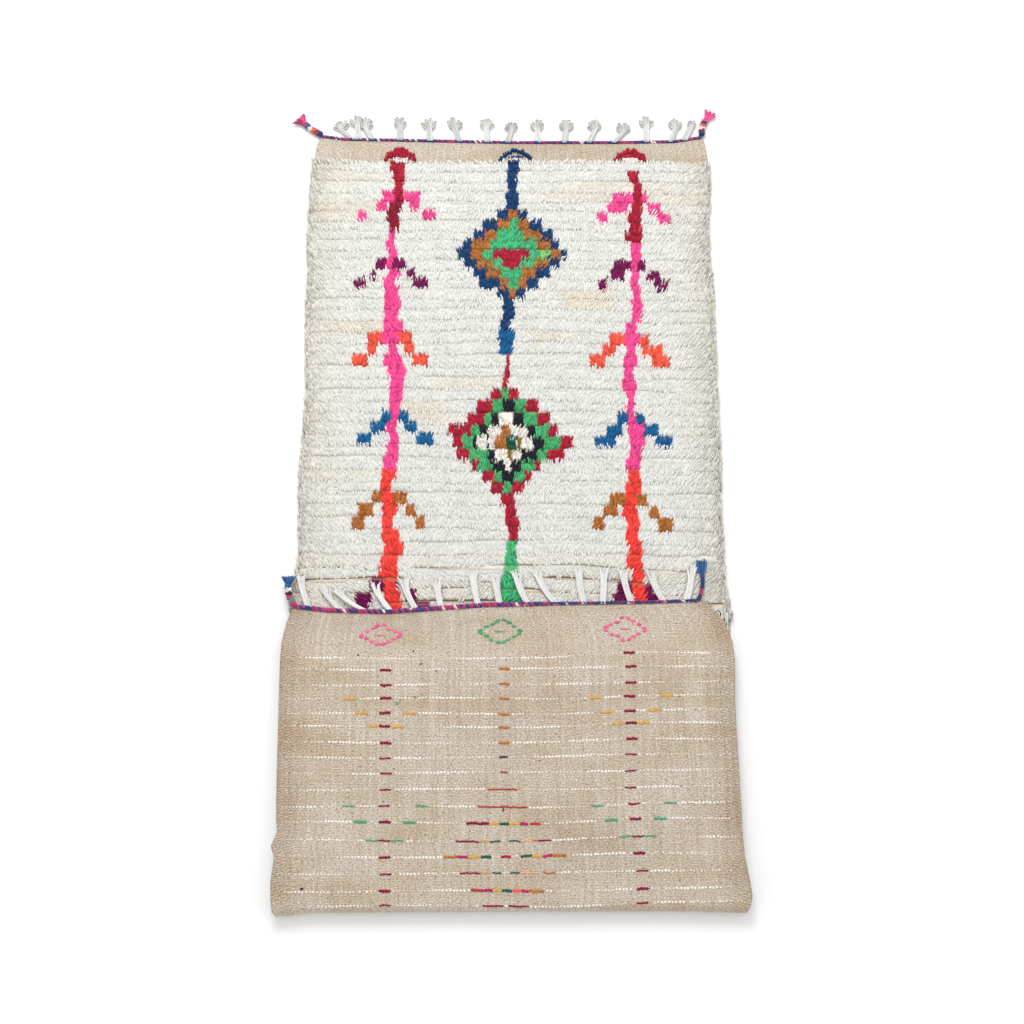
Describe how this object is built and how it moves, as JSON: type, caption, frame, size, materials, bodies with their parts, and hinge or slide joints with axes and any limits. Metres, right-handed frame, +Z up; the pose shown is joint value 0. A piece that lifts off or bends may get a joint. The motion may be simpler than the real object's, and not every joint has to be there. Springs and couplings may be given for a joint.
{
  "type": "azilal runner",
  "caption": "Narrow Moroccan wool pile rug with warp tassels and braided corners, lying pile side up with one end folded back over itself.",
  "frame": {"origin": "a point on the flat underside, on the rug's centre line, 723 mm from the front of the fold", "axes": "+X across the rug, +Y along it from the fold to the far end, +Z up"},
  "size_m": [0.8644, 1.6206, 0.0301],
  "materials": {
    "wool_pile": "matt hand-knotted wool pile",
    "fringe_yarn": "matt twisted warp yarn",
    "braid_yarn": "matt braided wool yarn"
  },
  "bodies": {
    "root": {"folded_rug": "wool_pile", "far_fringe": "fringe_yarn", "flap_fringe": "fringe_yarn", "far_left_braid": "braid_yarn", "far_right_braid": "braid_yarn", "flap_left_braid": "braid_yarn", "flap_right_braid": "braid_yarn"}
  },
  "joints": []
}
